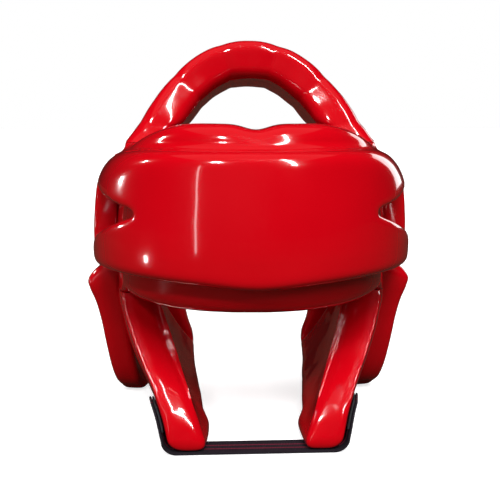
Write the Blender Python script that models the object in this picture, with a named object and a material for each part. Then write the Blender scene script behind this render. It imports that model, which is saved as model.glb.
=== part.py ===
"""Dipped foam sparring headgear, standing on its cheek guards and ear guards. Metres, +Z up, front towards -Y.

A closed head band carries a thick forehead pad, a segmented crown arch, two cheek guards and two ear guards,
and an elastic chin strap runs under both cheek guards. The origin is on the surface that it stands on.
"""

import math

import bmesh
import bpy
from mathutils import Vector

# Head hollow, seen from above
HEAD_WIDTH = 0.158
HEAD_LENGTH = 0.184
HEAD_SQUARENESS = 2.3

# Foam sheets and the gap between glued layers
FOAM = 0.028
PAD_FOAM = 0.0185
ARCH_FOAM = 0.030
EAR_FOAM = 0.022
GAP = 0.0003

# Heights above the surface that it stands on
STRAP_THICK = 0.002
TIP_LIFT = 0.0003
BROW_HEIGHT = 0.110
BAND_NAPE = 0.066
BAND_TOP_FRONT = 0.238
BAND_TOP_SIDE = 0.2225
BAND_DIP = 0.004
BAND_TOP_BACK = 0.208
PAD_LOW = 0.134
PAD_TOP = 0.221
ARCH_TOP = 0.2995

# How far the walls lean in at the crown and at the jaw
CROWN_LEAN = 0.0115
LEAN_START = 0.150
JAW_LEAN = 0.013

# How the lower part of a cheek guard toes in behind its front edge
TOE_IN = 0.006
TOE_HEIGHT = 0.095
TOE_ANGLE = 25.0
JAW_HALF = 0.034
JAW_SPREAD = 0.42
JAW_STRAIGHT = 0.096

# Edge rounding
BAND_ROUND = 0.009
JOINT_ROUND = 0.003
PAD_ROUND_LOW = 0.006
PAD_ROUND_TOP = 0.015
GUARD_ROUND = 0.010
TIP_ROUND = 0.009
ARCH_ROUND = 0.010

# Forehead pad
PAD_END_ANGLE = 120.0
PAD_POINT = 0.004
PAD_SIDE_DROP = 0.006
PAD_TOP_DROP = 0.008
WINDOW_ROUND = 0.004
HOLE_ROUND = 0.003
OPENING_DEPTH = 0.120

# Crown arch
ARCH_WIDTH_FOOT = 0.062
ARCH_WIDTH_TOP = 0.054
ARCH_LEAN = 0.020
ARCH_MIDDLE = 0.012
ARCH_PINCH = 0.0018
ARCH_TILT = 0.14
ARCH_TURN = 0.55

# Ear guards
EAR_TOP = 0.127
EAR_BULGE = 0.006
EAR_SLANT = 0.010

# Chin strap
STRAP_WIDTH = 0.020
STRAP_SET_BACK = 12.0
STRAP_BEND = 0.011
STRAP_RISE = 0.034
STRAP_SET_IN = 0.0006
PATCH_THICK = 0.0016
PATCH_GAP = 0.0008
STRAP_STEPS = 5
PATCH_STEPS = 5

COLUMNS = 48
CORNER_STEPS = 3
STRIP_STEPS = 12

# Front and back edges of a cheek guard, as angles round the head, by height as a share of BROW_HEIGHT
CHEEK_ROWS = (
    {"height": 0.10, "front": 17.0, "back": 52.0},
    {"height": 0.20, "front": 21.0, "back": 96.0},
    {"height": 0.28, "front": 26.0, "back": 126.0},
    {"height": 0.37, "front": 32.0, "back": 136.0},
    {"height": 0.48, "front": 39.0, "back": 137.0},
    {"height": 0.58, "front": 45.0, "back": 137.0},
    {"height": 0.72, "front": 51.5, "back": 137.0},
    {"height": 0.86, "front": 56.5, "back": 137.0},
    {"height": 1.00, "front": 60.0, "back": 137.0},
)

# Front and back edges of an ear guard, as angles, by height as a share of EAR_TOP, with its extra thickness
EAR_ROWS = (
    {"height": 0.03, "front": 108.0, "back": 130.0, "bulge": 0.0},
    {"height": 0.09, "front": 102.0, "back": 136.0, "bulge": 0.0},
    {"height": 0.17, "front": 98.0, "back": 141.0, "bulge": 0.0},
    {"height": 0.28, "front": 95.0, "back": 144.0, "bulge": 0.0},
    {"height": 0.42, "front": 93.0, "back": 145.0, "bulge": 0.0},
    {"height": 0.58, "front": 92.0, "back": 145.0, "bulge": 0.1},
    {"height": 0.72, "front": 91.0, "back": 145.0, "bulge": 0.35},
    {"height": 0.84, "front": 90.0, "back": 145.0, "bulge": 0.75},
    {"height": 0.92, "front": 90.0, "back": 144.0, "bulge": 1.0},
    {"height": 1.00, "front": 92.0, "back": 142.0, "bulge": 0.2},
)

# Side window of the forehead pad: corners as angles, and as shares of the pad's height
WINDOW_ROWS = (
    {"angle": 33.0, "height": 0.515},
    {"angle": 76.0, "height": 0.68},
    {"angle": 79.0, "height": 0.10},
)

# Ear hole in a cheek guard: corners as angles, and as shares of BROW_HEIGHT
EAR_HOLE_ROWS = (
    {"angle": 130.0, "height": 0.27},
    {"angle": 131.0, "height": 0.78},
    {"angle": 112.0, "height": 0.78},
)

# Outer line of the crown arch from its top to its foot: shares of the foot's reach and rise, and where it is pinched
ARCH_ROWS = (
    {"out": 0.00, "up": 1.000, "pinch": 0.0},
    {"out": 0.25, "up": 0.963, "pinch": 1.0},
    {"out": 0.45, "up": 0.831, "pinch": 0.0},
    {"out": 0.63, "up": 0.635, "pinch": 1.0},
    {"out": 0.77, "up": 0.396, "pinch": 0.0},
    {"out": 0.89, "up": 0.169, "pinch": 1.0},
    {"out": 1.00, "up": 0.000, "pinch": 0.0},
)

RED = (0.62, 0.004, 0.012, 1.0)
BLACK = (0.012, 0.012, 0.016, 1.0)


def outline_radius(angle):
    """Distance from the head's middle to its outline, seen from above."""
    across = abs(math.sin(angle)) / (HEAD_WIDTH / 2)
    along = abs(math.cos(angle)) / (HEAD_LENGTH / 2)
    return (across**HEAD_SQUARENESS + along**HEAD_SQUARENESS) ** (-1 / HEAD_SQUARENESS)


def plan(angle_deg, offset):
    """Point beside the head's outline, seen from above; angle 0 is the front and 90 is +X."""
    angle, step = math.radians(angle_deg), 1e-4
    before, here, after = (
        Vector((outline_radius(a) * math.sin(a), -outline_radius(a) * math.cos(a)))
        for a in (angle - step, angle, angle + step)
    )
    tangent = (after - before).normalized()
    return here + Vector((tangent.y, -tangent.x)) * offset


def lean(height):
    """How far the inner wall stands outside the head's outline at a height."""
    if height > LEAN_START:
        share = (height - LEAN_START) / (BAND_TOP_FRONT - LEAN_START)
        return -CROWN_LEAN * share**1.5
    return -JAW_LEAN * max(0.0, 1 - height / (BROW_HEIGHT * 0.9))


def smooth(value):
    """Eased share from 0 to 1."""
    value = min(max(value, 0.0), 1.0)
    return value * value * (3 - 2 * value)


def row_value(rows, height, key):
    """Value of a column at a height share, between its two nearest rows."""
    heights = [row["height"] for row in rows]
    if height <= heights[0]:
        return rows[0][key]
    if height >= heights[-1]:
        return rows[-1][key]
    i = max(n for n, h in enumerate(heights) if h <= height)
    share = (height - heights[i]) / (heights[i + 1] - heights[i])
    return rows[i][key] + (rows[i + 1][key] - rows[i][key]) * share


def rounded_outline(left, right, low, high, radii, splits):
    """Closed outline of a rectangle with rounded corners, anticlockwise from the low left one."""
    corners = (
        (left + radii[0], low + radii[0], 180, radii[0]),
        (right - radii[1], low + radii[1], 270, radii[1]),
        (right - radii[2], high - radii[2], 0, radii[2]),
        (left + radii[3], high - radii[3], 90, radii[3]),
    )
    points = []
    for number, (x, y, start, radius) in enumerate(corners):
        for step in range(CORNER_STEPS + 1):
            turn = math.radians(start + 90 * step / CORNER_STEPS)
            points.append((x + radius * math.cos(turn), y + radius * math.sin(turn)))
        x2, y2, start2, radius2 = corners[(number + 1) % 4]
        turn = math.radians(start2)
        target = (x2 + radius2 * math.cos(turn), y2 + radius2 * math.sin(turn))
        side = splits[number % 2]
        last = points[-1]
        points += [
            (last[0] + (target[0] - last[0]) * k / side, last[1] + (target[1] - last[1]) * k / side)
            for k in range(1, side)
        ]
    return points


def material(name, colour, roughness, coat):
    made = bpy.data.materials.new(name)
    made.use_nodes = True
    shader = made.node_tree.nodes["Principled BSDF"]
    shader.inputs["Base Color"].default_value = colour
    shader.inputs["Roughness"].default_value = roughness
    shader.inputs["Metallic"].default_value = 0.0
    shader.inputs["Coat Weight"].default_value = coat
    return made


def loft(name, sections, skin, ring=False):
    """Closed solid through sections with equal numbers of points; a ring joins its last section to its first.

    Sections are laid out round the head's middle, which lies behind the origin by half the forehead pad's foam.
    """
    bm = bmesh.new()
    back = Vector((0, (PAD_FOAM + GAP) / 2, 0))
    row = [bm.verts.new(Vector(point) + back) for point in sections[0]]
    edges = [bm.edges.new((row[i - 1], row[i])) for i in range(len(row))]
    if not ring:
        bm.faces.new(row)
    for points in [*sections[1:], sections[0]] if ring else sections[1:]:
        made = bmesh.ops.extrude_edge_only(bm, edges=edges)["geom"]
        new = {item for item in made if isinstance(item, bmesh.types.BMVert)}
        edges = [item for item in made if isinstance(item, bmesh.types.BMEdge) and set(item.verts) <= new]
        row = [next(e.other_vert(v) for e in v.link_edges if e.other_vert(v) in new) for v in row]
        for vertex, point in zip(row, points):
            vertex.co = Vector(point) + back
    if not ring:
        bm.faces.new(row)
    bmesh.ops.remove_doubles(bm, verts=bm.verts, dist=1e-6)
    bmesh.ops.recalc_face_normals(bm, faces=bm.faces)
    mesh = bpy.data.meshes.new(name)
    bm.to_mesh(mesh)
    bm.free()
    mesh.materials.append(skin)
    mesh.shade_smooth()
    mesh.set_sharp_from_angle(angle=math.radians(50))
    made = bpy.data.objects.new(name, mesh)
    bpy.context.scene.collection.objects.link(made)
    return made


def cut(target, cutter):
    """Takes the cutter's shape out of the target, and keeps the cutter as a hidden guide."""
    modifier = target.modifiers.new("cut_" + cutter.name, "BOOLEAN")
    modifier.operation = "DIFFERENCE"
    modifier.object = cutter
    cutter.hide_render = True
    cutter.display_type = "WIRE"


def band_top(angle):
    """Height of the head band's upper edge."""
    turn = abs(angle)
    side = BAND_TOP_FRONT + (BAND_TOP_SIDE - BAND_TOP_FRONT) * smooth((turn - 24) / 48)
    side -= BAND_DIP * max(0.0, 1 - turn / 12) ** 2
    return side + (BAND_TOP_BACK - BAND_TOP_SIDE) * smooth((turn - 118) / 50)


def band_low(angle):
    """Height of the head band's lower edge, level over the cheek guards and low at the nape."""
    turn = abs(angle)
    return BROW_HEIGHT + (BAND_NAPE - BROW_HEIGHT) * smooth((turn - 144) / 26)


def head_band(skin):
    sections = []
    for column in range(COLUMNS):
        angle = 360 * column / COLUMNS - 180
        over_guard = smooth((abs(angle) - 56) / 8) * (1 - smooth((abs(angle) - 143) / 6))
        low_round = BAND_ROUND + (JOINT_ROUND - BAND_ROUND) * over_guard
        under_arch = smooth((abs(angle) - 68) / 8) * (1 - smooth((abs(angle) - 116) / 8))
        top_round = BAND_ROUND + (JOINT_ROUND - BAND_ROUND) * under_arch
        radii = (low_round, low_round, top_round, top_round)
        outline = rounded_outline(0, FOAM, band_low(angle), band_top(angle), radii, (1, 5))
        sections.append([(*plan(angle, lean(z) + d), z) for d, z in outline])
    return loft("head_band", sections, skin, ring=True)


def pad_low(angle):
    """Height of the forehead pad's lower edge: a blunt point over the nose, and a slight drop at the sides."""
    turn = abs(angle)
    return PAD_LOW - PAD_POINT * max(0.0, 1 - turn / 26) - PAD_SIDE_DROP * smooth((turn - 30) / 60)


def pad_top(angle):
    return PAD_TOP - PAD_TOP_DROP * smooth((abs(angle) - 30) / 60)


def pad_section(angle, inset):
    """Section of the forehead pad at an angle, drawn in by inset where its ends are rounded."""
    inner = FOAM + GAP
    outline = rounded_outline(
        inner,
        inner + PAD_FOAM - inset,
        pad_low(angle) + inset,
        pad_top(angle) - inset,
        (0.0015, min(PAD_ROUND_LOW, PAD_FOAM - inset - 0.002), min(PAD_ROUND_TOP, PAD_FOAM - inset - 0.002), 0.0015),
        (1, 5),
    )
    return [(*plan(angle, lean(z) + d), z) for d, z in outline]


def end_insets(radius):
    """Rounding of a foam end, outermost first: pairs of distance to go and inset."""
    turns = [math.radians(a) for a in (12, 38, 64)]
    return [(radius * math.cos(a), radius * (1 - math.sin(a))) for a in turns]


def rounded_corners(corners, radius):
    """Closed outline through corners, each rounded by an arc of four points."""
    points = []
    for i, here in enumerate(corners):
        back = (corners[i - 1] - here).normalized()
        ahead = (corners[(i + 1) % len(corners)] - here).normalized()
        half = back.angle(ahead) / 2
        centre = here + (back + ahead).normalized() * radius / math.sin(half)
        start = here + back * radius / math.tan(half)
        end = here + ahead * radius / math.tan(half)
        for share in (0, 1 / 3, 2 / 3, 1):
            points.append(centre + (start.lerp(end, share) - centre).normalized() * radius)
    return points


def opening_cutter(name, rows, side, low, high, reach, radius, skin):
    """Straight block with the outline of an opening, pushed through the foam along the opening's middle."""
    middle = sum(row["angle"] for row in rows) / len(rows)
    facing = plan(middle, 1.0) - plan(middle, 0.0)
    across = Vector((-facing.y, facing.x))
    corners = []
    for row in rows:
        height = low + (high - low) * row["height"]
        place = plan(row["angle"], lean(height) + reach)
        corners.append(Vector((place.dot(across), height)))
    start = plan(middle, FOAM).dot(facing)
    sections = []
    for depth in (start - OPENING_DEPTH / 2, start + OPENING_DEPTH / 2):
        flat = [(facing * depth + across * p.x, p.y) for p in rounded_corners(corners, radius)]
        sections.append([(side * place.x, place.y, height) for place, height in flat])
    return loft(name, sections, skin)


def forehead_pad(skin):
    ends = end_insets(PAD_FOAM * 0.8)
    rate = math.degrees(1 / (HEAD_LENGTH / 2 + FOAM))
    angles = [(-PAD_END_ANGLE - s * rate, inset) for s, inset in ends]
    count = 32
    angles += [(PAD_END_ANGLE * (2 * k / count - 1), 0.0) for k in range(count + 1)]
    angles += [(PAD_END_ANGLE + s * rate, inset) for s, inset in reversed(ends)]
    pad = loft("forehead_pad", [pad_section(a, inset) for a, inset in angles], skin)
    for side, name in ((1, "window_right"), (-1, "window_left")):
        cut(pad, opening_cutter(name, WINDOW_ROWS, side, PAD_LOW, PAD_TOP, FOAM + PAD_FOAM, WINDOW_ROUND, skin))
    return pad


def strip_section(side, height, front, back, inner, outer, inset, wall):
    """Level section of a guard: a bent strip of foam between two angles, with rounded ends."""
    middle = wall((front + back) / 2, height, (inner + outer) / 2)
    per_degree = (wall((front + back) / 2 + 1, height, (inner + outer) / 2) - middle).length
    run = (back - front) * per_degree
    radius = min(GUARD_ROUND, (outer - inner) / 2 - inset - 0.0005, run / 2 - inset - 0.0005)
    outline = rounded_outline(inset, run - inset, inner + inset, outer - inset, (radius,) * 4, (STRIP_STEPS, 1))
    return [
        (side * point.x, point.y, point.z)
        for point in (wall(front + s / per_degree, height, d) for s, d in outline)
    ]


def cheek_wall(angle, height, offset):
    """Point of a cheek guard: a straight wall low down at the jaw, which turns into the head's curve further up."""
    front = row_value(CHEEK_ROWS, height / BROW_HEIGHT, "front")
    toe = TOE_IN * max(0.0, 1 - height / TOE_HEIGHT) * (1 - math.exp(-max(0.0, angle - front) / TOE_ANGLE))
    curved = plan(angle, lean(height) - toe + offset)
    straight = Vector((JAW_HALF + JAW_SPREAD * height - toe + offset, plan(angle, FOAM / 2).y))
    point = curved.lerp(straight, smooth(1 - height / JAW_STRAIGHT))
    return Vector((point.x, point.y, height))


def ear_wall(angle, height, offset):
    """Point of an ear guard, whose top face slants down towards its outer side."""
    point = plan(angle, lean(height) + offset)
    drop = EAR_SLANT * (offset - FOAM - GAP) / EAR_FOAM * smooth((height / EAR_TOP - 0.6) / 0.4)
    return Vector((point.x, point.y, height - drop))


def cheek_guard(name, side, skin):
    bottom = STRAP_THICK + TIP_LIFT + GAP
    top = BROW_HEIGHT - GAP
    rows = []
    for turn in (12, 36, 62):
        a = math.radians(turn)
        rows.append((bottom + TIP_ROUND * (1 - math.cos(a)), TIP_ROUND * (1 - math.sin(a))))
    rows += [(row["height"] * BROW_HEIGHT, 0.0) for row in CHEEK_ROWS[1:-1]]
    rows.append((bottom + TIP_ROUND, 0.0))
    rows.append((top, 0.0))
    rows.sort()
    sections = []
    for height, inset in rows:
        share = height / BROW_HEIGHT
        front = row_value(CHEEK_ROWS, share, "front")
        back = row_value(CHEEK_ROWS, share, "back")
        sections.append(strip_section(side, height, front, back, 0, FOAM, inset, cheek_wall))
    guard = loft(name, sections, skin)
    hole_name = name.replace("cheek_guard", "ear_hole")
    cut(guard, opening_cutter(hole_name, EAR_HOLE_ROWS, side, 0, BROW_HEIGHT, 0, HOLE_ROUND, skin))
    return guard


def ear_guard(name, side, skin):
    bottom, round_low = 0.0, EAR_FOAM * 0.42
    rows = []
    for turn in (0, 25, 50, 70):
        a = math.radians(turn)
        rows.append((bottom + round_low * (1 - math.cos(a)), round_low * (1 - math.sin(a))))
    rows += [(row["height"] * EAR_TOP, 0.0) for row in EAR_ROWS[2:]]
    sections = []
    for height, inset in rows:
        share = height / EAR_TOP
        front, back, bulge = (row_value(EAR_ROWS, share, key) for key in ("front", "back", "bulge"))
        inner = FOAM + GAP
        outer = inner + EAR_FOAM + EAR_BULGE * bulge
        sections.append(strip_section(side, height, front, back, inner, outer, inset, ear_wall))
    return loft(name, sections, skin)


def curve(points, share):
    """Point of a smooth line through points, at a share from 0 to 1 of their number."""
    run = share * (len(points) - 1)
    i = min(int(run), len(points) - 2)
    t = run - i
    a, b, c, d = (points[min(max(i + k, 0), len(points) - 1)] for k in (-1, 0, 1, 2))
    return 0.5 * (2 * b + (c - a) * t + (2 * a - 5 * b + 4 * c - d) * t**2 + (3 * b - a - 3 * c + d) * t**3)


def crown_arch(skin):
    reach = HEAD_WIDTH / 2 + FOAM + lean(BAND_TOP_SIDE)
    foot = BAND_TOP_SIDE + GAP
    half = [Vector((row["out"] * reach, foot + row["up"] * (ARCH_TOP - foot), row["pinch"])) for row in ARCH_ROWS]
    line = [Vector((-p.x, p.y, p.z)) for p in reversed(half[1:])] + half
    count = (len(line) - 1) * 3
    sections = []
    for i in range(count + 1):
        share = i / count
        point = curve(line, share)
        along = (curve(line, min(share + 0.01, 1)) - curve(line, max(share - 0.01, 0))).to_2d().normalized()
        end = i in (0, count)
        rise = (point.y - foot) / (ARCH_TOP - foot)
        upright = Vector((0, 1 if share < 0.5 else -1))
        along = upright.lerp(along, smooth(rise / ARCH_TURN)).normalized()
        inward = Vector((along.y, -along.x))
        squeeze = 0.0 if end else ARCH_PINCH * max(0.0, point.z) ** 2
        half_width = (ARCH_WIDTH_FOOT + (ARCH_WIDTH_TOP - ARCH_WIDTH_FOOT) * smooth(rise * 1.5)) / 2 - squeeze
        near, far = (JOINT_ROUND, FOAM - JOINT_ROUND) if end else (squeeze, ARCH_FOAM - squeeze)
        outline = rounded_outline(near, far, -half_width, half_width, (ARCH_ROUND,) * 4, (1, 2))
        middle = ARCH_MIDDLE + ARCH_LEAN * smooth(rise)
        section = []
        for depth, w in outline:
            flat = point.to_2d() + inward * depth
            section.append((flat.x, middle + w, flat.y - ARCH_TILT * w * smooth(rise * 2)))
        sections.append(section)
    return loft("crown_arch", sections, skin)


def strap_stations(lift):
    """Stations at a lift over the cheek guard's outer face: point, width direction, outward."""
    stations = []
    for k in range(STRAP_STEPS + 1):
        height = STRAP_RISE + (STRAP_BEND - STRAP_RISE) * k / STRAP_STEPS
        angle = row_value(CHEEK_ROWS, height / BROW_HEIGHT, "front") + STRAP_SET_BACK
        point = cheek_wall(angle, height, FOAM)
        width = (cheek_wall(angle + 1, height, FOAM) - point).normalized()
        outward = Vector((abs(width.y), -width.x, 0))
        stations.append((point + outward * lift, width, outward))
    return stations


def webbing_strip(name, stations, thick, side, skin):
    """Flat strip along stations that lie on its outer face."""
    half = STRAP_WIDTH / 2
    corners = ((-half, 0), (0, 0), (half, 0), (half, thick), (0, thick), (-half, thick))
    sections = []
    for point, width, outward in stations:
        section = [point + width * w - outward * t for w, t in corners]
        sections.append([(side * p.x, p.y, p.z) for p in section])
    return loft(name, sections, skin)


def chin_strap(skin):
    """Strap from the right cheek guard's outer face, under both tips, to the left one."""
    right = strap_stations(PATCH_GAP + PATCH_THICK + GAP + STRAP_THICK)
    last, width, outward = right[-1]
    for turn in (22.5, 45, 67.5, 90):
        a, eased = math.radians(turn), smooth(turn / 90)
        x = last.x - STRAP_BEND * (1 - math.cos(a))
        y = last.y + (STRAP_SET_IN - HEAD_LENGTH / 2 - last.y) * eased
        side = outward.lerp(Vector((1, 0, 0)), eased).normalized()
        across = width.lerp(Vector((0, 1, 0)), eased).normalized()
        facing = side * math.cos(a) - Vector((0, 0, 1)) * math.sin(a)
        facing = (facing - across * facing.dot(across)).normalized()
        right.append((Vector((x, y, STRAP_BEND * (1 - math.sin(a)))), across, facing))
    middle = (Vector((0, STRAP_SET_IN - HEAD_LENGTH / 2, 0)), Vector((0, 1, 0)), Vector((0, 0, -1)))
    left = [
        (Vector((-p.x, p.y, p.z)), Vector((-w.x, w.y, w.z)), Vector((-n.x, n.y, n.z))) for p, w, n in right
    ]
    return webbing_strip("chin_strap", left + [middle] + right[::-1], STRAP_THICK, 1, skin)


def strap_patch(name, side, skin):
    """Hook patch between a strap end and the cheek guard."""
    stations = strap_stations(PATCH_GAP + PATCH_THICK)[:PATCH_STEPS]
    return webbing_strip(name, stations, PATCH_THICK, side, skin)


def main():
    for item in list(bpy.data.objects):
        bpy.data.objects.remove(item, do_unlink=True)
    vinyl = material("red_vinyl", RED, 0.12, 1.0)
    webbing = material("black_webbing", BLACK, 0.75, 0.0)
    head_band(vinyl)
    forehead_pad(vinyl)
    crown_arch(vinyl)
    for side, word in ((1, "right"), (-1, "left")):
        cheek_guard("cheek_guard_" + word, side, vinyl)
        ear_guard("ear_guard_" + word, side, vinyl)
        strap_patch("strap_patch_" + word, side, webbing)
    chin_strap(webbing)


main()
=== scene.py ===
"""Dipped foam sparring headgear: its looks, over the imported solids. Metres, +Z up, front towards -Y."""

import math

import bmesh
import bpy
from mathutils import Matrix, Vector, noise


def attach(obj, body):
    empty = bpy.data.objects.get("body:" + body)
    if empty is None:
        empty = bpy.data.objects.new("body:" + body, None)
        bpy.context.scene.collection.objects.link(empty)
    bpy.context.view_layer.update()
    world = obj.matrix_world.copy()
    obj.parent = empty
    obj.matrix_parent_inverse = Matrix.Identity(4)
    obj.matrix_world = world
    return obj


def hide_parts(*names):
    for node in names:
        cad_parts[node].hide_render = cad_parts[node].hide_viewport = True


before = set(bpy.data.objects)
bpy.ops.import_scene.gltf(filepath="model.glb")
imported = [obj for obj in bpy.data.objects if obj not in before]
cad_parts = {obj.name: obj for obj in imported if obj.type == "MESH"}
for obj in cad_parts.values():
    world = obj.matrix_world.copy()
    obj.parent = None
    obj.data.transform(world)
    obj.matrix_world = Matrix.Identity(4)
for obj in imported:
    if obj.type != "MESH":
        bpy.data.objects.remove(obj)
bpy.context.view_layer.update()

# Head hollow and foam sheets, as in the part's source
HEAD_WIDTH = 0.158
HEAD_LENGTH = 0.184
HEAD_SQUARENESS = 2.3
FOAM = 0.028
PAD_FOAM = 0.0185
ARCH_FOAM = 0.030
EAR_FOAM = 0.022
GAP = 0.0003
HEAD_BACK = (PAD_FOAM + GAP) / 2

# Heights above the surface that it stands on
STRAP_THICK = 0.002
BROW_HEIGHT = 0.110
BAND_NAPE = 0.066
BAND_TOP_FRONT = 0.238
BAND_TOP_SIDE = 0.2225
BAND_TOP_BACK = 0.208
PAD_LOW = 0.134
PAD_TOP = 0.221
ARCH_TOP = 0.2995
EAR_TOP = 0.127

# Leans, drops and edge rounding
CROWN_LEAN = 0.0115
LEAN_START = 0.150
JAW_LEAN = 0.013
TOE_IN = 0.006
TOE_HEIGHT = 0.095
TOE_ANGLE = 25.0
JAW_HALF = 0.034
JAW_SPREAD = 0.42
JAW_STRAIGHT = 0.096
BAND_DIP = 0.004
BAND_ROUND = 0.010
PAD_END_ANGLE = 120.0
PAD_POINT = 0.004
PAD_SIDE_DROP = 0.006
PAD_TOP_DROP = 0.008
PAD_END_RUN = 0.014
PAD_ROUND_LOW = 0.007
PAD_ROUND_ACROSS = 0.009
PAD_ROUND_UP = 0.008
SHOULDER_ACROSS = 0.008
SHOULDER_UP = 0.022
FLAT_EDGE = 0.0006
RIM_ROUND = 0.0080
EAR_RIM = 0.0045
OPENING_ROUND = 0.003
WINDOW_ROUND = 0.0025
WINDOW_LIP = 0.0016
EAR_HOLE_LIP = 0.0012
EAR_SLANT = 0.010
PRESS_DEEP = 0.0005
PRESS_HEIGHT = 0.023
PRESS_WIDE = 0.0085
PRESS_TALL = 0.0095
FOLD_DEEP = 0.0010
FOLD_REACH = 0.020
EAR_BULGE = 0.006
CREASE_RADIUS = 0.007
CREASE_SUNK = 0.0008
ARCH_WIDTH_FOOT = 0.062
ARCH_WIDTH_TOP = 0.054
ARCH_LEAN = 0.020
ARCH_MIDDLE = 0.012
ARCH_TILT = 0.14
ARCH_TURN = 0.55
ARCH_ROUND = 0.0095
ARCH_FLARE = 0.004
ARCH_FLARE_HEIGHT = 0.009

# Changes of height and rounding round the head, each as its first angle and its run in degrees
BAND_SIDE_DROP = (24, 48)
BAND_BACK_DROP = (118, 50)
BAND_NAPE_DROP = (144, 26)
PAD_SIDE_SLOPE = (30, 60)
PAD_SHOULDER = (22, 45)
GUARD_START, GUARD_END = (57, 7), (137, 6)
ARCH_START, ARCH_END = (70, 8), (112, 8)
DIP_WIDTH = 7.0
POINT_WIDTH = 15.0

# Chin strap
STRAP_WIDTH = 0.020
STRAP_SET_BACK = 12.0
STRAP_BEND = 0.011
STRAP_RISE = 0.034
STRAP_SET_IN = 0.0006
STRAP_FRONT = STRAP_SET_IN - HEAD_LENGTH / 2 + HEAD_BACK
PATCH_THICK = 0.0016
PATCH_GAP = 0.0008
PATCH_FOOT = 0.0176

# Edges of the guards, as angles round the head, by height as a share of BROW_HEIGHT or EAR_TOP
CHEEK_ROWS = (
    {"height": 0.10, "front": 17.0, "back": 52.0},
    {"height": 0.20, "front": 21.0, "back": 96.0},
    {"height": 0.28, "front": 26.0, "back": 126.0},
    {"height": 0.37, "front": 32.0, "back": 136.0},
    {"height": 0.48, "front": 39.0, "back": 137.0},
    {"height": 0.58, "front": 45.0, "back": 137.0},
    {"height": 0.72, "front": 51.5, "back": 137.0},
    {"height": 0.86, "front": 56.5, "back": 137.0},
    {"height": 1.00, "front": 60.0, "back": 137.0},
)
EAR_ROWS = (
    {"height": 0.03, "front": 108.0, "back": 130.0, "bulge": 0.0},
    {"height": 0.09, "front": 102.0, "back": 136.0, "bulge": 0.0},
    {"height": 0.17, "front": 98.0, "back": 141.0, "bulge": 0.0},
    {"height": 0.28, "front": 95.0, "back": 144.0, "bulge": 0.0},
    {"height": 0.42, "front": 93.0, "back": 145.0, "bulge": 0.0},
    {"height": 0.58, "front": 92.0, "back": 145.0, "bulge": 0.1},
    {"height": 0.72, "front": 91.0, "back": 145.0, "bulge": 0.35},
    {"height": 0.84, "front": 90.0, "back": 145.0, "bulge": 0.75},
    {"height": 0.92, "front": 90.0, "back": 144.0, "bulge": 1.0},
    {"height": 1.00, "front": 92.0, "back": 142.0, "bulge": 0.2},
)
WINDOW_ROWS = (
    {"angle": 33.0, "height": 0.515},
    {"angle": 76.0, "height": 0.68},
    {"angle": 79.0, "height": 0.10},
)
EAR_HOLE_ROWS = (
    {"angle": 130.0, "height": 0.27},
    {"angle": 131.0, "height": 0.78},
    {"angle": 112.0, "height": 0.78},
)
ARCH_ROWS = (
    {"out": 0.00, "up": 1.000},
    {"out": 0.25, "up": 0.963},
    {"out": 0.45, "up": 0.831},
    {"out": 0.63, "up": 0.635},
    {"out": 0.77, "up": 0.396},
    {"out": 0.89, "up": 0.169},
    {"out": 1.00, "up": 0.000},
)

# Cross grooves of the arch, by their place among its spans, and the depth and width of each pinch
ARCH_SPANS = 12
SPAN_LENGTH = 0.024
ARCH_GROOVES = (1, 3, 5, 7, 9, 11)
ARCH_PINCHES = ((0.0002, 0.004), (0.0004, 0.008))
ARCH_EASING = 600

# Dipped skins: a degree round the head when laid flat, and the fineness of each mesh
DEGREE = 0.0020
VOXEL = 0.0016
DIP_ROUNDS = 10
BAND_COLUMNS = 240
PAD_COLUMNS = 200
ARCH_STEPS = 260
OUTLINE_SPACING = 0.0018
SHARP_ANGLE = 55

# Camera, as solved from the photograph
CAMERA_LENS = 53.28
CAMERA_AWAY = 0.604
CAMERA_HEIGHT = 0.247
CAMERA_TURN = -2.5
CAMERA_DOWN = 10.7


# Camera and scene


def set_camera():
    data = bpy.data.cameras.new("view_camera")
    data.sensor_width = 36.0
    data.lens = CAMERA_LENS
    camera = bpy.data.objects.new("view_camera", data)
    turn = math.radians(CAMERA_TURN)
    back = HEAD_BACK - math.cos(turn) * CAMERA_AWAY
    camera.location = (math.sin(turn) * CAMERA_AWAY, back, CAMERA_HEIGHT)
    camera.rotation_euler = (math.radians(90 - CAMERA_DOWN), 0, turn)
    bpy.context.scene.collection.objects.link(camera)
    bpy.context.scene.camera = camera


def link(name, mesh):
    made = bpy.data.objects.new(name, mesh)
    bpy.context.scene.collection.objects.link(made)
    return made


# Shape of the head and of its foam walls


def outline_radius(angle):
    """Distance from the head's middle to its outline, seen from above."""
    across = abs(math.sin(angle)) / (HEAD_WIDTH / 2)
    along = abs(math.cos(angle)) / (HEAD_LENGTH / 2)
    return (across**HEAD_SQUARENESS + along**HEAD_SQUARENESS) ** (-1 / HEAD_SQUARENESS)


def plan(angle_deg, offset):
    """Point beside the head's outline, seen from above; angle 0 is the front and 90 is +X."""
    angle, step = math.radians(angle_deg), 1e-4
    before, here, after = (
        Vector((outline_radius(a) * math.sin(a), -outline_radius(a) * math.cos(a)))
        for a in (angle - step, angle, angle + step)
    )
    tangent = (after - before).normalized()
    return here + Vector((tangent.y, -tangent.x)) * offset


def lean(height):
    """How far the inner wall stands outside the head's outline at a height."""
    if height > LEAN_START:
        share = (height - LEAN_START) / (BAND_TOP_FRONT - LEAN_START)
        return -CROWN_LEAN * share**1.5
    return -JAW_LEAN * max(0.0, 1 - height / (BROW_HEIGHT * 0.9))


def smooth(value):
    """Eased share from 0 to 1."""
    value = min(max(value, 0.0), 1.0)
    return value * value * (3 - 2 * value)


def eased(turn, span):
    """Share that grows from 0 to 1 over a span of angles, given as its start and its run."""
    return smooth((turn - span[0]) / span[1])


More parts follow.
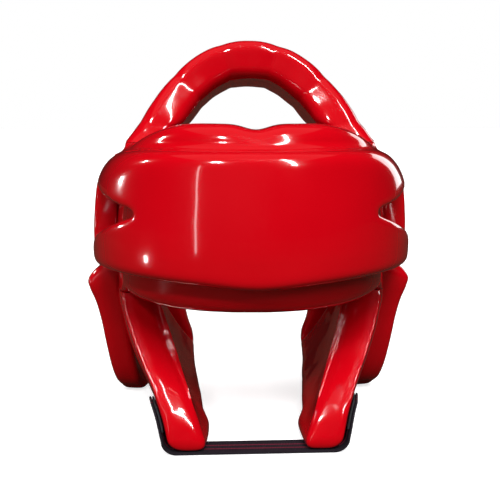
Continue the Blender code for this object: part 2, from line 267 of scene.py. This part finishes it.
def wall(angle, depth, height):
    """Point of a foam wall: depth is counted outwards from the head hollow."""
    point = plan(angle, lean(height) + depth)
    return Vector((point.x, point.y + HEAD_BACK, height))


def row_curve(rows, share, key):
    """Value of a column at a height share, on a smooth curve through the rows."""
    heights = [row["height"] for row in rows]
    values = [row[key] for row in rows]
    if share <= heights[0]:
        return values[0]
    if share >= heights[-1]:
        return values[-1]
    i = max(n for n, h in enumerate(heights) if h <= share)
    slopes = []
    for k in (i, i + 1):
        a, b = max(k - 1, 0), min(k + 1, len(rows) - 1)
        slopes.append((values[b] - values[a]) / (heights[b] - heights[a]))
    span = heights[i + 1] - heights[i]
    t = (share - heights[i]) / span
    bend = t * t * (3 - 2 * t)
    rise = slopes[0] * span * t * (1 - t) ** 2 - slopes[1] * span * t * t * (1 - t)
    return values[i] * (1 - bend) + values[i + 1] * bend + rise


def cheek_wall(angle, depth, height):
    """Point of a cheek guard: a straight wall at the jaw, which turns into the head's curve."""
    front = row_curve(CHEEK_ROWS, height / BROW_HEIGHT, "front")
    toe = TOE_IN * max(0.0, 1 - height / TOE_HEIGHT)
    toe *= 1 - math.exp(-max(0.0, angle - front) / TOE_ANGLE)
    across = JAW_HALF + JAW_SPREAD * height - toe + depth
    straight = Vector((across, plan(angle, FOAM / 2).y + HEAD_BACK, height))
    return wall(angle, depth - toe, height).lerp(straight, smooth(1 - height / JAW_STRAIGHT))


def curve_point(points, share):
    """Point of a smooth line through points, at a share from 0 to 1 of their number."""
    run = share * (len(points) - 1)
    i = min(int(run), len(points) - 2)
    t = run - i
    a, b, c, d = (points[min(max(i + k, 0), len(points) - 1)] for k in (-1, 0, 1, 2))
    square, cube = 2 * a - 5 * b + 4 * c - d, 3 * b - a - 3 * c + d
    return 0.5 * (2 * b + (c - a) * t + square * t**2 + cube * t**3)


# Mesh makers


def skin_through(sections, ring):
    """Closed skin through closed sections; its ends are filled unless the sections make a ring."""
    rows = [*sections, sections[0]] if ring else list(sections)
    across = len(rows[0])
    bm = bmesh.new()
    bmesh.ops.create_grid(bm, x_segments=len(rows) - 1, y_segments=across, size=1.0)
    for vertex in bm.verts:
        i = round((vertex.co.x + 1) / 2 * (len(rows) - 1))
        j = round((vertex.co.y + 1) / 2 * across) % across
        vertex.co = rows[i][j]
    bmesh.ops.remove_doubles(bm, verts=bm.verts, dist=1e-6)
    if not ring:
        bmesh.ops.holes_fill(bm, edges=bm.edges, sides=0)
    bmesh.ops.recalc_face_normals(bm, faces=bm.faces)
    return bm


def mesh_of(bm, name):
    mesh = bpy.data.meshes.new(name)
    bm.to_mesh(mesh)
    bm.free()
    return mesh


def corner_arc(x, y, start, rx, ry, steps):
    """Quarter arc round a corner's centre, starting at an angle in degrees."""
    turns = [math.radians(start + 90 * k / steps) for k in range(steps + 1)]
    return [(x + rx * math.cos(t), y + ry * math.sin(t)) for t in turns]


def rounded_section(left, right, low, high, corners, steps, along, up):
    """Closed outline of a rectangle whose corners each have a radius across and a radius up."""
    (ax, ay), (bx, by), (cx, cy), (dx, dy) = corners
    arcs = [
        corner_arc(left + ax, low + ay, 180, ax, ay, steps),
        corner_arc(right - bx, low + by, 270, bx, by, steps),
        corner_arc(right - cx, high - cy, 0, cx, cy, steps),
        corner_arc(left + dx, high - dy, 90, dx, dy, steps),
    ]
    points = []
    for number, arc in enumerate(arcs):
        points += arc
        (x, y), (x2, y2) = arc[-1], arcs[(number + 1) % 4][0]
        side = along if number % 2 == 0 else up
        points += [(x + (x2 - x) * k / side, y + (y2 - y) * k / side) for k in range(1, side)]
    return points


def inset_outline(outline, inset):
    """Outline drawn inwards by inset, with as many points."""
    made = []
    for i, here in enumerate(outline):
        along = (outline[(i + 1) % len(outline)] - outline[i - 1]).normalized()
        made.append(here + Vector((-along.y, along.x)) * inset)
    return made


def resampled(outline, spacing):
    """Closed line with points at equal spacing."""
    loop = [*outline, outline[0]]
    runs = [0.0]
    for a, b in zip(loop, loop[1:]):
        runs.append(runs[-1] + (b - a).length)
    count = round(runs[-1] / spacing)
    points, k = [], 0
    for i in range(count):
        target = runs[-1] * i / count
        while runs[k + 1] < target:
            k += 1
        points.append(loop[k].lerp(loop[k + 1], (target - runs[k]) / (runs[k + 1] - runs[k])))
    return points


def round_levels(radius, thick, steps):
    """Depths and insets of a sheet whose two faces both round off with this radius."""
    turns = [math.radians(90 * k / steps) for k in range(steps + 1)]
    near = [(radius * (1 - math.cos(t)), radius * (1 - math.sin(t))) for t in turns]
    return near + [(thick - depth, inset) for depth, inset in reversed(near)]


def pillow(outline, thick, rim):
    """Flat foam sheet with this outline and rounded rims: X along it, Y through it, Z up."""
    levels = round_levels(rim, thick, 7)
    sections = []
    for depth, inset in levels:
        sections.append([Vector((p.x, depth, p.y)) for p in inset_outline(outline, inset)])
    return skin_through(sections, ring=False)


def opening_cutter(name, corners, radius, thick, lip):
    """Block for an opening in a flat foam sheet, flared by a round lip at both faces."""
    past = 0.004
    levels = [(-past, lip), *round_levels(lip, thick, 6), (thick + past, lip)]
    sections = []
    for depth, grow in levels:
        points = []
        for i, here in enumerate(corners):
            back = (corners[i - 1] - here).normalized()
            ahead = (corners[(i + 1) % len(corners)] - here).normalized()
            half = back.angle(ahead) / 2
            centre = here + (back + ahead).normalized() * radius / math.sin(half)
            start = here + back * radius / math.tan(half) - centre
            end = here + ahead * radius / math.tan(half) - centre
            for k in range(9):
                points.append(centre + start.lerp(end, k / 8).normalized() * (radius + grow))
        sections.append([Vector((p.x, depth, p.y)) for p in points])
    return link(name, mesh_of(skin_through(sections, ring=False), name))


def dipped(name, bm, cutters=()):
    """Flat foam sheet after its openings are cut and its skin has flowed over every edge."""
    piece = link(name + "_flat", mesh_of(bm, name + "_flat"))
    for cutter in cutters:
        cut = piece.modifiers.new("opening", "BOOLEAN")
        cut.operation = "DIFFERENCE"
        cut.solver = "EXACT"
        cut.object = cutter
    skin = piece.modifiers.new("skin", "REMESH")
    skin.mode = "VOXEL"
    skin.voxel_size = VOXEL
    skin.adaptivity = 0.0
    graph = bpy.context.evaluated_depsgraph_get()
    mesh = bpy.data.meshes.new_from_object(piece.evaluated_get(graph))
    flat = bmesh.new()
    flat.from_mesh(mesh)
    for item in (piece, *cutters):
        bpy.data.objects.remove(item, do_unlink=True)
    axes = {"use_axis_x": True, "use_axis_y": True, "use_axis_z": True}
    for _ in range(DIP_ROUNDS):
        bmesh.ops.smooth_vert(flat, verts=flat.verts, factor=0.5, **axes)
    return flat


def soften(bm, dent):
    """Moves a soft foam skin along its normals by dent, which gives a depth at a point."""
    bm.normal_update()
    moves = [vertex.normal * dent(vertex.co) for vertex in bm.verts]
    for vertex, move in zip(bm.verts, moves):
        vertex.co += move


def body_dent(swell, grain):
    """Slow swells and small dents of a large foam body."""
    shift = Vector((7, 3, 5))
    return lambda p: swell * noise.noise(p / 0.045) + grain * noise.noise(p / 0.016 + shift)


def joint_dent(waves, joint, run):
    """Waves, each a depth and a size, that fade out over a run towards a flat joint's height."""

    def dent(point):
        depth = sum(deep * noise.noise(point / size) for deep, size in waves)
        return depth * smooth((point.z - joint) / run)

    return dent


def finish_piece(name, bm, skin, *nodes, fill=1.0):
    """Object from a mesh in place, standing for its CAD nodes."""
    bmesh.ops.recalc_face_normals(bm, faces=bm.faces)
    mesh = mesh_of(bm, name)
    mesh.shade_smooth()
    mesh.set_sharp_from_angle(angle=math.radians(SHARP_ANGLE))
    mesh.materials.append(skin)
    piece = link(name, mesh)
    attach(piece, "root")
    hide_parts(*nodes)
    return piece


# Foam pieces


def band_top(angle):
    """Height of the band's upper edge: two lobes over the brow, lower at the sides and back."""
    turn = abs(angle)
    side = BAND_TOP_FRONT + (BAND_TOP_SIDE - BAND_TOP_FRONT) * eased(turn, BAND_SIDE_DROP)
    side -= BAND_DIP * math.exp(-((angle / DIP_WIDTH) ** 2))
    return side + (BAND_TOP_BACK - BAND_TOP_SIDE) * eased(turn, BAND_BACK_DROP)


def band_low(angle):
    return BROW_HEIGHT + (BAND_NAPE - BROW_HEIGHT) * eased(abs(angle), BAND_NAPE_DROP)


def pad_low(angle):
    turn = abs(angle)
    low = PAD_LOW - PAD_POINT * math.exp(-((turn / POINT_WIDTH) ** 2))
    return low - PAD_SIDE_DROP * eased(turn, PAD_SIDE_SLOPE)


def pad_top(angle):
    return PAD_TOP - PAD_TOP_DROP * eased(abs(angle), PAD_SIDE_SLOPE)


def crease_fill(over):
    """Thickness of the dipped skin's fillet where the band rises out of the pad's top edge."""
    over += CREASE_SUNK
    if over <= 0:
        return CREASE_RADIUS * smooth(1 + over / CREASE_RADIUS)
    rest = max(CREASE_RADIUS - over, 0.0)
    return CREASE_RADIUS - math.sqrt(CREASE_RADIUS**2 - rest**2)


def head_band(skin):
    sections = []
    for column in range(BAND_COLUMNS):
        angle = 360 * column / BAND_COLUMNS - 180
        turn = abs(angle)
        over_guard = eased(turn, GUARD_START) * (1 - eased(turn, GUARD_END))
        under_arch = eased(turn, ARCH_START) * (1 - eased(turn, ARCH_END))
        low_round = BAND_ROUND + (FLAT_EDGE - BAND_ROUND) * over_guard
        top_round = BAND_ROUND + (FLAT_EDGE - BAND_ROUND) * under_arch
        corners = ((low_round, low_round),) * 2 + ((top_round, top_round),) * 2
        outline = rounded_section(0, FOAM, band_low(angle), band_top(angle), corners, 7, 6, 110)
        behind_pad = 1 - smooth((turn - PAD_END_ANGLE + 2) / 3)
        section = []
        for depth, height in outline:
            if depth > FOAM / 2:
                depth += crease_fill(height - pad_top(angle)) * behind_pad
            section.append(wall(angle, depth, height))
        sections.append(section)
    bm = skin_through(sections, ring=True)
    soften(bm, body_dent(0.0004, 0.00015))
    return finish_piece("head_band_skin", bm, skin, "head_band")


def forehead_pad(skin):
    steps, inner = 8, 0.001
    columns = []
    for k in range(steps):
        t = math.radians(8 + 82 * k / steps)
        past = PAD_END_RUN * math.cos(t) / DEGREE
        columns.append((-PAD_END_ANGLE - past, PAD_END_RUN * (1 - math.sin(t))))
    tail = [(-a, inset) for a, inset in reversed(columns)]
    for k in range(PAD_COLUMNS + 1):
        columns.append((-PAD_END_ANGLE + 2 * PAD_END_ANGLE * k / PAD_COLUMNS, 0.0))
    sections = []
    for angle, inset in columns + tail:
        thick = PAD_FOAM - inset
        shoulder = eased(abs(angle), PAD_SHOULDER)
        low_round = min(PAD_ROUND_LOW, thick - inner)
        top_across = min(PAD_ROUND_ACROSS + SHOULDER_ACROSS * shoulder, thick - inner)
        top_up = PAD_ROUND_UP + SHOULDER_UP * shoulder
        corners = ((inner, inner), (low_round, low_round), (top_across, top_up), (inner, inner))
        low, high = pad_low(angle) + inset, pad_top(angle) - inset
        outline = rounded_section(0, thick, low, high, corners, 7, 4, 24)
        sections.append([Vector((angle * DEGREE, depth, height)) for depth, height in outline])
    cutters = []
    for side in (1, -1):
        corners = [
            Vector((side * row["angle"] * DEGREE, PAD_LOW + (PAD_TOP - PAD_LOW) * row["height"]))
            for row in WINDOW_ROWS
        ]
        cutter = opening_cutter("side_window", corners[::side], WINDOW_ROUND, PAD_FOAM, WINDOW_LIP)
        cutters.append(cutter)
    bm = dipped("forehead_pad", skin_through(sections, ring=False), cutters)
    for vertex in bm.verts:
        along, depth, height = vertex.co
        vertex.co = wall(along / DEGREE, FOAM + GAP + max(depth, 0.0), height)
    soften(bm, body_dent(0.0003, 0.00005))
    return finish_piece("forehead_pad_skin", bm, skin, "forehead_pad")


def strip_outline(rows, top, bottom, over, spare, tip):
    """Outline of a guard laid flat: down its front edge, round its tip and up its back edge."""
    first, steps = rows[0]["height"], 60
    shares = [first + (1 + over - first) * k / steps for k in range(steps + 1)]
    front = [Vector((row_curve(rows, s, "front") * DEGREE, s * top)) for s in shares]
    back = [Vector(((row_curve(rows, s, "back") + spare) * DEGREE, s * top)) for s in shares]
    foot = []
    for k in range(1, 9):
        a = math.radians(90 * k / 8)
        height = (front[0].y - bottom) * (1 - math.sin(a)) + bottom
        foot.append((tip * (1 - math.cos(a)), height))
    ahead = [Vector((front[0].x + run, h)) for run, h in foot]
    behind = [Vector((back[0].x - run, h)) for run, h in reversed(foot)]
    return resampled(front[::-1] + ahead + behind + back, OUTLINE_SPACING)


def cheek_guard(name, side, skin):
    bottom = STRAP_THICK + 2 * GAP
    outline = strip_outline(CHEEK_ROWS, BROW_HEIGHT, bottom, over=0.14, spare=3.0, tip=0.010)
    corners = [Vector((r["angle"] * DEGREE, r["height"] * BROW_HEIGHT)) for r in EAR_HOLE_ROWS]
    cutter = opening_cutter("ear_hole", corners, OPENING_ROUND, FOAM, EAR_HOLE_LIP)
    bm = dipped(name, pillow(outline, FOAM, RIM_ROUND), [cutter])
    cut = bmesh.ops.bisect_plane(
        bm,
        geom=[*bm.verts, *bm.edges, *bm.faces],
        plane_co=(0, 0, BROW_HEIGHT - GAP),
        plane_no=(0, 0, 1),
        clear_outer=True,
    )
    rim = [item for item in cut["geom_cut"] if isinstance(item, bmesh.types.BMEdge)]
    bmesh.ops.contextual_create(bm, geom=rim)
    for vertex in bm.verts:
        along, depth, height = vertex.co
        edge = along - row_curve(CHEEK_ROWS, height / BROW_HEIGHT, "front") * DEGREE
        spread = math.hypot((depth - FOAM / 2) / PRESS_WIDE, (height - PRESS_HEIGHT) / PRESS_TALL)
        along += PRESS_DEEP * smooth((1.2 - spread) / 0.35) * smooth(1 - edge / RIM_ROUND)
        folds = math.sin(along * 1100 + height * 300 + side)
        folds *= smooth(1 - (BROW_HEIGHT - height) / FOLD_REACH)
        depth += FOLD_DEEP * folds * (depth / FOAM - 0.5)
        point = cheek_wall(along / DEGREE, depth, height)
        vertex.co = Vector((side * point.x, point.y, point.z))
    soften(bm, joint_dent(((0.0003, 0.013), (0.0005, 0.04)), BROW_HEIGHT, -0.02))
    return finish_piece(name + "_skin", bm, skin, name)


def ear_guard(name, side, skin):
    outline = strip_outline(EAR_ROWS, EAR_TOP, 0.0, over=0.0, spare=0.0, tip=0.012)
    bm = dipped(name, pillow(outline, EAR_FOAM, EAR_RIM))
    for vertex in bm.verts:
        along, depth, height = vertex.co
        bulge = EAR_BULGE * row_curve(EAR_ROWS, height / EAR_TOP, "bulge")
        deep = FOAM + GAP + depth * (1 + bulge / EAR_FOAM)
        height -= EAR_SLANT * (depth / EAR_FOAM) * smooth((height / EAR_TOP - 0.6) / 0.4)
        point = wall(along / DEGREE, deep, max(height, 0.0))
        vertex.co = Vector((side * point.x, point.y, point.z))
    soften(bm, body_dent(0.0003, 0.00015))
    for vertex in bm.verts:
        vertex.co.z = max(vertex.co.z, 0.0)
    return finish_piece(name + "_skin", bm, skin, name)


def crown_arch(skin):
    reach = HEAD_WIDTH / 2 + FOAM + lean(BAND_TOP_SIDE)
    foot = BAND_TOP_SIDE + GAP
    half = [Vector((r["out"] * reach, foot + r["up"] * (ARCH_TOP - foot))) for r in ARCH_ROWS]
    rough = [Vector((-p.x, p.y)) for p in reversed(half[1:])] + half
    count, sections = ARCH_STEPS, []
    line = [curve_point(rough, i / count) for i in range(count + 1)]
    for _ in range(ARCH_EASING):
        inner = ((a + b * 2 + c) / 4 for a, b, c in zip(line, line[1:], line[2:]))
        line = [line[0], *inner, line[-1]]
    stretch = (ARCH_TOP - foot) / (line[count // 2].y - foot)
    line = [Vector((p.x, foot + (p.y - foot) * stretch)) for p in line]
    for i, point in enumerate(line):
        share = i / count
        ahead, behind = line[min(i + 3, count)], line[max(i - 3, 0)]
        rise = (point.y - foot) / (ARCH_TOP - foot)
        upright = Vector((0, 1 if share < 0.5 else -1))
        along = upright.lerp((ahead - behind).normalized(), smooth(rise / ARCH_TURN)).normalized()
        inward = Vector((along.y, -along.x))
        apart = min(abs(share * ARCH_SPANS - groove) for groove in ARCH_GROOVES) * SPAN_LENGTH
        pinch = sum(deep * math.exp(-((apart / wide) ** 2)) for deep, wide in ARCH_PINCHES)
        flare = ARCH_FLARE * max(0.0, 1 - (point.y - foot) / ARCH_FLARE_HEIGHT) ** 2
        width = ARCH_WIDTH_FOOT + (ARCH_WIDTH_TOP - ARCH_WIDTH_FOOT) * smooth(rise * 1.5)
        half_width = width / 2 + flare - pinch
        deep = FOAM + (ARCH_FOAM - FOAM) * smooth(rise * 4)
        corners = ((ARCH_ROUND, ARCH_ROUND),) * 4
        outline = rounded_section(pinch, deep - pinch, -half_width, half_width, corners, 8, 4, 10)
        middle = ARCH_MIDDLE + ARCH_LEAN * smooth(rise)
        section = []
        for depth, w in outline:
            flat = point + inward * depth
            tilt = ARCH_TILT * w * smooth(rise * 2)
            section.append(Vector((flat.x, middle + w + HEAD_BACK, flat.y - tilt)))
        sections.append(section)
    bm = skin_through(sections, ring=False)
    soften(bm, joint_dent(((0.0006, 0.03), (0.0003, 0.012)), foot, 0.01))
    return finish_piece("crown_arch_skin", bm, skin, "crown_arch")


# Strap and patches


def strap_stations(lift, low, steps):
    """Stations over a cheek guard's outer face: point, width direction and outward direction."""
    stations = []
    for k in range(steps + 1):
        height = STRAP_RISE + (low - STRAP_RISE) * k / steps
        angle = row_curve(CHEEK_ROWS, height / BROW_HEIGHT, "front") + STRAP_SET_BACK
        point = cheek_wall(angle, FOAM, height)
        width = (cheek_wall(angle + 1, FOAM, height) - point).normalized()
        outward = Vector((abs(width.y), -width.x, 0))
        stations.append((point + outward * lift, width, outward))
    return stations


def webbing_strip(name, stations, thick, skin, *nodes):
    """Woven strip along stations on its outer face, with a map across and along it."""
    cells = 10
    runs = [0.0]
    for a, b in zip(stations, stations[1:]):
        runs.append(runs[-1] + (b[0] - a[0]).length)
    bm = bmesh.new()
    bmesh.ops.create_grid(bm, x_segments=len(stations) - 1, y_segments=cells, size=1.0)
    layer = bm.loops.layers.uv.new("weave")
    for face in bm.faces:
        for loop in face.loops:
            i = round((loop.vert.co.x + 1) / 2 * (len(stations) - 1))
            loop[layer].uv = ((loop.vert.co.y + 1) / 2, runs[i])
    for vertex in bm.verts:
        i = round((vertex.co.x + 1) / 2 * (len(stations) - 1))
        point, width, outward = stations[i]
        across = vertex.co.y * STRAP_WIDTH / 2
        edge = 0.0003 * abs(vertex.co.y) ** 6
        vertex.co = point + width * across - outward * (thick / 2 + edge)
    bmesh.ops.recalc_face_normals(bm, faces=bm.faces)
    mesh = mesh_of(bm, name)
    mesh.shade_smooth()
    mesh.materials.append(skin)
    piece = link(name, mesh)
    body = piece.modifiers.new("thickness", "SOLIDIFY")
    body.thickness = thick - 0.0003
    body.offset = 0.0
    bevel = piece.modifiers.new("soft_edges", "BEVEL")
    bevel.width = 0.0004
    bevel.segments = 2
    bevel.limit_method = "ANGLE"
    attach(piece, "root")
    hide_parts(*nodes)
    return piece, runs[-1]


def mirrored(stations):
    return [tuple(Vector((-v.x, v.y, v.z)) for v in station) for station in stations]


def chin_strap(skin):
    right = strap_stations(PATCH_GAP + PATCH_THICK + GAP + STRAP_THICK, STRAP_BEND, 16)
    last, width, outward = right[-1]
    for k in range(1, 17):
        a, share = math.radians(90 * k / 16), smooth(k / 16)
        x = last.x - STRAP_BEND * (1 - math.cos(a))
        y = last.y + (STRAP_FRONT - last.y) * share
        side = outward.lerp(Vector((1, 0, 0)), share).normalized()
        across = width.lerp(Vector((0, 1, 0)), share).normalized()
        facing = side * math.cos(a) - Vector((0, 0, 1)) * math.sin(a)
        facing = (facing - across * facing.dot(across)).normalized()
        right.append((Vector((x, y, STRAP_BEND * (1 - math.sin(a)))), across, facing))
    edge = right[-1][0].x
    middle = [
        (Vector((-edge + 2 * edge * k / 24, STRAP_FRONT, 0)), Vector((0, 1, 0)), Vector((0, 0, -1)))
        for k in range(1, 24)
    ]
    stations = mirrored(right) + middle + right[::-1]
    piece, length = webbing_strip("chin_strap_webbing", stations, STRAP_THICK, skin, "chin_strap")
    return piece


def strap_patch(name, side, skin):
    stations = strap_stations(PATCH_GAP + PATCH_THICK, PATCH_FOOT, 8)
    if side < 0:
        stations = mirrored(stations)
    piece, length = webbing_strip(name + "_hooks", stations, PATCH_THICK, skin, name)
    return piece


# Materials: level over which the skin has pits, and the webbing's ribs, cords and two stripes
PIT_LEVEL = 0.74
RIB_RATE = 5200.0
CORD_RATE = 110.0
STRIPE_OFFSET = 0.14
STRIPE_HALF = 0.035


class Wire:
    """Output of a shader node, with arithmetic that adds Math nodes."""

    def __init__(self, tree, socket):
        self.tree, self.socket = tree, socket

    def math(self, operation, *values):
        made = self.tree.nodes.new("ShaderNodeMath")
        made.operation = operation
        for slot, value in zip(made.inputs, values):
            if isinstance(value, Wire):
                self.tree.links.new(value.socket, slot)
            else:
                slot.default_value = value
        return Wire(self.tree, made.outputs[0])

    def __add__(self, other):
        return self.math("ADD", self, other)

    def __sub__(self, other):
        return self.math("SUBTRACT", self, other)

    def __mul__(self, other):
        return self.math("MULTIPLY", self, other)

    def __gt__(self, other):
        return self.math("GREATER_THAN", self, other)

    def __lt__(self, other):
        return self.math("LESS_THAN", self, other)

    __radd__ = __add__

    def sine(self):
        return self.math("SINE", self)

    def absolute(self):
        return self.math("ABSOLUTE", self)


class Finish:
    """Material with one method for every node."""

    def __init__(self, name):
        self.material = bpy.data.materials.new(name)
        self.material.use_nodes = True
        self.tree = self.material.node_tree
        self.shader = self.tree.nodes["Principled BSDF"]

    def node(self, kind, inputs=None, out=0, **settings):
        made = self.tree.nodes.new("ShaderNode" + kind)
        for key, value in settings.items():
            setattr(made, key, value)
        self.feed(made, inputs or {})
        return Wire(self.tree, made.outputs[out])

    def feed(self, made, inputs):
        for key, value in inputs.items():
            if isinstance(value, Wire):
                self.tree.links.new(value.socket, made.inputs[key])
            else:
                made.inputs[key].default_value = value

    def blend(self, share, first, second):
        """Colour between two, by a share."""
        made = self.tree.nodes.new("ShaderNodeMix")
        made.data_type = "RGBA"
        self.feed(made, {0: share, 6: first, 7: second})
        return Wire(self.tree, made.outputs[2])


def dipped_vinyl():
    look = Finish("dipped_red_vinyl")
    place = look.node("TexCoord", out="Object")
    cloud = look.node("TexNoise", {"Vector": place, "Scale": 16.0, "Detail": 3.0})
    peel = look.node("TexNoise", {"Vector": place, "Scale": 190.0, "Detail": 2.0})
    specks = look.node("TexNoise", {"Vector": place, "Scale": 520.0, "Detail": 1.0})
    pits = (specks - PIT_LEVEL) * 6.0 * (specks > PIT_LEVEL)
    colour = look.blend(cloud, (0.37, 0.0003, 0.0034, 1), (0.43, 0.0005, 0.0046, 1))
    height = peel * 0.05 - pits * 0.4
    relief = look.node("Bump", {"Height": height, "Strength": 0.16, "Distance": 0.001})
    look.feed(
        look.shader,
        {
            "Base Color": colour,
            "Roughness": 0.12 + cloud * 0.06,
            "Normal": relief,
            "IOR": 1.4,
            "Coat Weight": 1.0,
            "Coat Roughness": 0.03,
        },
    )
    return look.material


def woven_webbing():
    look = Finish("black_elastic_webbing")
    place = look.node("TexCoord", out="Object")
    weave = look.node("UVMap", uv_map="weave")
    across = look.node("SeparateXYZ", {"Vector": weave}, out="X")
    along = look.node("SeparateXYZ", {"Vector": weave}, out="Y")
    ribs = (along * RIB_RATE).sine()
    cords = (across * CORD_RATE).sine()
    stripe = ((across - 0.5).absolute() - STRIPE_OFFSET).absolute() < STRIPE_HALF
    lint = look.node("TexNoise", {"Vector": place, "Scale": 900.0, "Detail": 2.0})
    base = look.blend(lint, (0.004, 0.003, 0.005, 1), (0.014, 0.010, 0.015, 1))
    colour = look.blend(stripe, base, (0.11, 0.010, 0.022, 1))
    height = ribs * 0.5 + cords * 0.3
    relief = look.node("Bump", {"Height": height, "Strength": 0.5, "Distance": 0.0004})
    dull = {"Roughness": 0.78 + lint * 0.1, "Specular IOR Level": 0.25}
    look.feed(look.shader, {"Base Color": colour, "Normal": relief, **dull})
    return look.material


def hook_patch():
    look = Finish("black_hook_patch")
    place = look.node("TexCoord", out="Object")
    hooks = look.node("TexVoronoi", {"Vector": place, "Scale": 900.0}, out="Distance")
    colour = look.blend(hooks, (0.02, 0.02, 0.024, 1), (0.006, 0.006, 0.008, 1))
    relief = look.node("Bump", {"Height": hooks, "Strength": 0.8, "Distance": 0.0005})
    look.feed(look.shader, {"Base Color": colour, "Roughness": 0.85, "Normal": relief})
    return look.material


def floor_finish():
    """White to the camera, with a dim brown table in the vinyl's reflections."""
    look = Finish("pale_floor")
    place = look.node("TexCoord", out="Object")
    grain = look.node("TexNoise", {"Vector": place, "Scale": 30.0})
    colour = look.blend(grain, (0.58, 0.58, 0.58, 1), (0.60, 0.60, 0.60, 1))
    glow = {"Emission Color": (1, 1, 1, 1), "Emission Strength": 0.7}
    dull = {"Roughness": 0.8, "Specular IOR Level": 0.2}
    look.feed(look.shader, {"Base Color": colour, **dull, **glow})
    table = look.node("BsdfDiffuse", {"Color": (0.05, 0.016, 0.012, 1)})
    seen = look.node("LightPath", out="Is Camera Ray")
    mix = look.tree.nodes.new("ShaderNodeMixShader")
    look.tree.links.new(seen.socket, mix.inputs[0])
    look.tree.links.new(table.socket, mix.inputs[1])
    look.tree.links.new(look.shader.outputs[0], mix.inputs[2])
    look.tree.links.new(mix.outputs[0], look.tree.nodes["Material Output"].inputs["Surface"])
    return look.material


# Studio


def set_stage():
    bm = bmesh.new()
    bmesh.ops.create_grid(bm, x_segments=1, y_segments=1, size=9.0)
    floor = link("studio_floor", mesh_of(bm, "studio_floor"))
    floor.data.materials.append(floor_finish())


def panel_light(name, turn, rise, away, size, power):
    """Area light aimed at the pad: turn counts from the front to +X, and rise from the horizon."""
    data = bpy.data.lights.new(name, "AREA")
    data.shape = "RECTANGLE"
    data.size, data.size_y = size
    data.energy = power
    lamp = link(name, data)
    side, up = math.radians(turn), math.radians(rise)
    line = Vector((math.sin(side) * math.cos(up), -math.cos(side) * math.cos(up), math.sin(up)))
    lamp.location = PANEL_AIM + line * away
    lamp.rotation_euler = line.to_track_quat("Z", "Y").to_euler()
    lamp.visible_camera = False


def soft_sun(name, direction, strength, angle):
    """Even light that shows in no reflection."""
    data = bpy.data.lights.new(name, "SUN")
    data.energy = strength
    data.angle = math.radians(angle)
    lamp = link(name, data)
    lamp.rotation_euler = Vector(direction).to_track_quat("-Z", "Y").to_euler()
    lamp.visible_glossy = False


# Lights that the glossy skin mirrors, and the point that they face
PANEL_AIM = Vector((0, -0.06, 0.17))
PANELS = (
    {"name": "ceiling", "turn": 0, "rise": 82, "away": 1.9, "size": (2.4, 2.0), "power": 2.6},
    {"name": "lamp_left", "turn": -24, "rise": 38, "away": 1.5, "size": (0.15, 0.15), "power": 7.0},
    {"name": "tube_right", "turn": 25, "rise": 40, "away": 1.5, "size": (0.09, 0.9), "power": 12.0},
    {"name": "lamp_side", "turn": -98, "rise": 30, "away": 1.5, "size": (0.09, 0.09), "power": 3.6},
    {"name": "lamp_side_low", "turn": -108, "rise": 6, "away": 1.5, "size": (0.08, 0.08), "power": 2.0},
    {"name": "lamp_table", "turn": -75, "rise": -11, "away": 0.6, "size": (0.03, 0.03), "power": 0.10},
    {"name": "door_left", "turn": -35, "rise": 8, "away": 1.5, "size": (0.04, 0.8), "power": 0.7},
    {"name": "wall_back", "turn": 134, "rise": 14, "away": 1.6, "size": (0.5, 0.8), "power": 3.0},
)


def set_lights():
    soft_sun("soft_key", (-0.05, 0.72, -1), 3.7, 24)
    soft_sun("soft_fill", (0.45, 1, -0.25), 0.8, 60)
    soft_sun("soft_back", (-0.1, -1, -0.7), 2.0, 60)
    for panel in PANELS:
        panel_light(**panel)
    world = bpy.data.worlds.new("studio_world")
    bpy.context.scene.world = world
    world.use_nodes = True
    tree = world.node_tree
    back = tree.nodes["Background"]
    seen = tree.nodes.new("ShaderNodeBackground")
    back.inputs["Color"].default_value = (0.5, 0.42, 0.4, 1)
    back.inputs["Strength"].default_value = 0.02
    seen.inputs["Color"].default_value = (1, 1, 1, 1)
    path, mix = tree.nodes.new("ShaderNodeLightPath"), tree.nodes.new("ShaderNodeMixShader")
    tree.links.new(path.outputs["Is Camera Ray"], mix.inputs[0])
    tree.links.new(back.outputs[0], mix.inputs[1])
    tree.links.new(seen.outputs[0], mix.inputs[2])
    tree.links.new(mix.outputs[0], tree.nodes["World Output"].inputs["Surface"])
    bpy.context.scene.view_settings.view_transform = "Standard"


set_camera()
set_stage()
set_lights()
vinyl, webbing, hooks = dipped_vinyl(), woven_webbing(), hook_patch()
head_band(vinyl)
forehead_pad(vinyl)
crown_arch(vinyl)
for side, word in ((1, "right"), (-1, "left")):
    cheek_guard("cheek_guard_" + word, side, vinyl)
    ear_guard("ear_guard_" + word, side, vinyl)
    strap_patch("strap_patch_" + word, side, hooks)
chin_strap(webbing)
